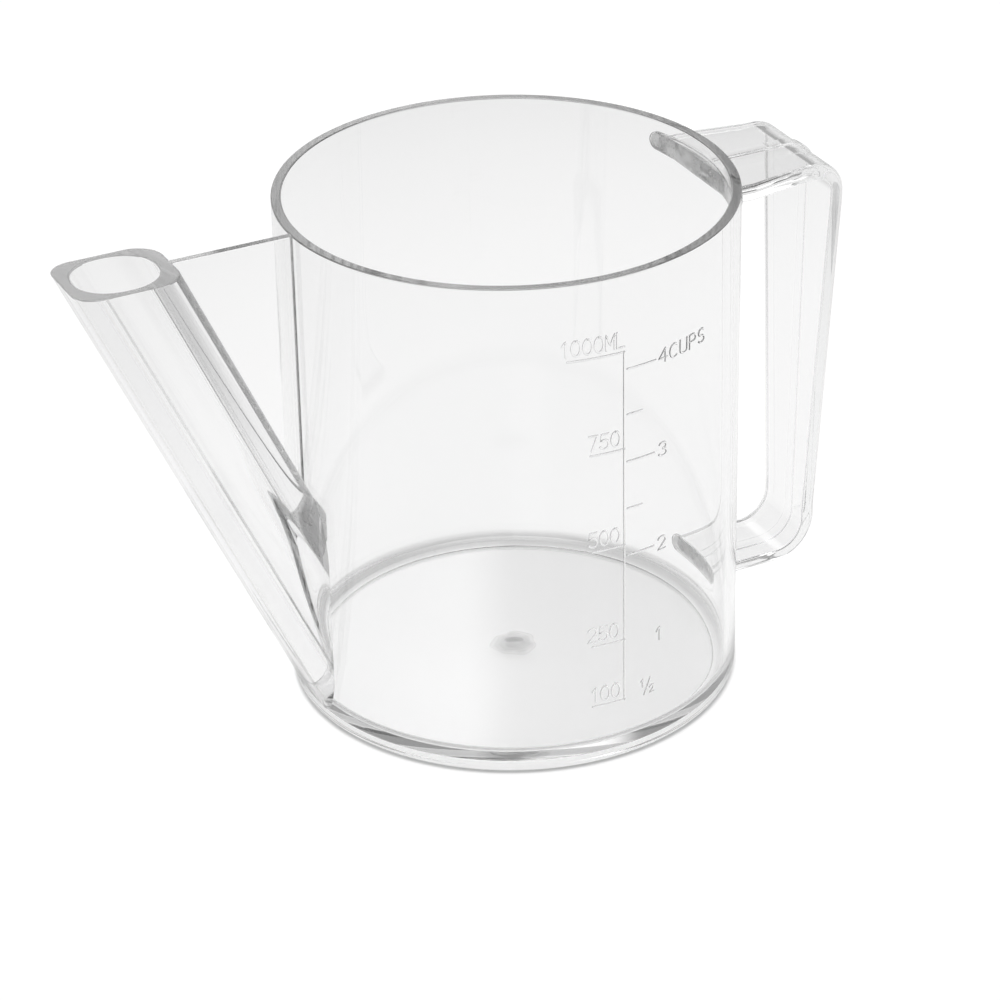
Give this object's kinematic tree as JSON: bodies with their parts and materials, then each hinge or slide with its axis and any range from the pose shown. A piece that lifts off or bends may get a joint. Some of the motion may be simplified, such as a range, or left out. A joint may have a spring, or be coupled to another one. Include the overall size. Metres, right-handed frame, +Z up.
{
  "type": "gravy separator",
  "caption": "Clear open beaker with a low slanted pouring spout joined by a web, a strap handle opposite and a raised volume scale, for pouring gravy from under its fat.",
  "frame": {"origin": "on the table under the middle of the overall length over spout and handle", "axes": "+Z up along the beaker's axis, +X towards the handle, -X towards the spout, -Y towards the side with the scale"},
  "size_m": [0.1996, 0.113, 0.131],
  "materials": {
    "beaker": "clear, colourless, polished",
    "pouring_spout": "clear, colourless, polished",
    "handle": "clear, colourless, polished"
  },
  "bodies": {
    "root": {"beaker": "beaker", "pouring_spout": "pouring_spout", "handle": "handle"}
  },
  "joints": []
}
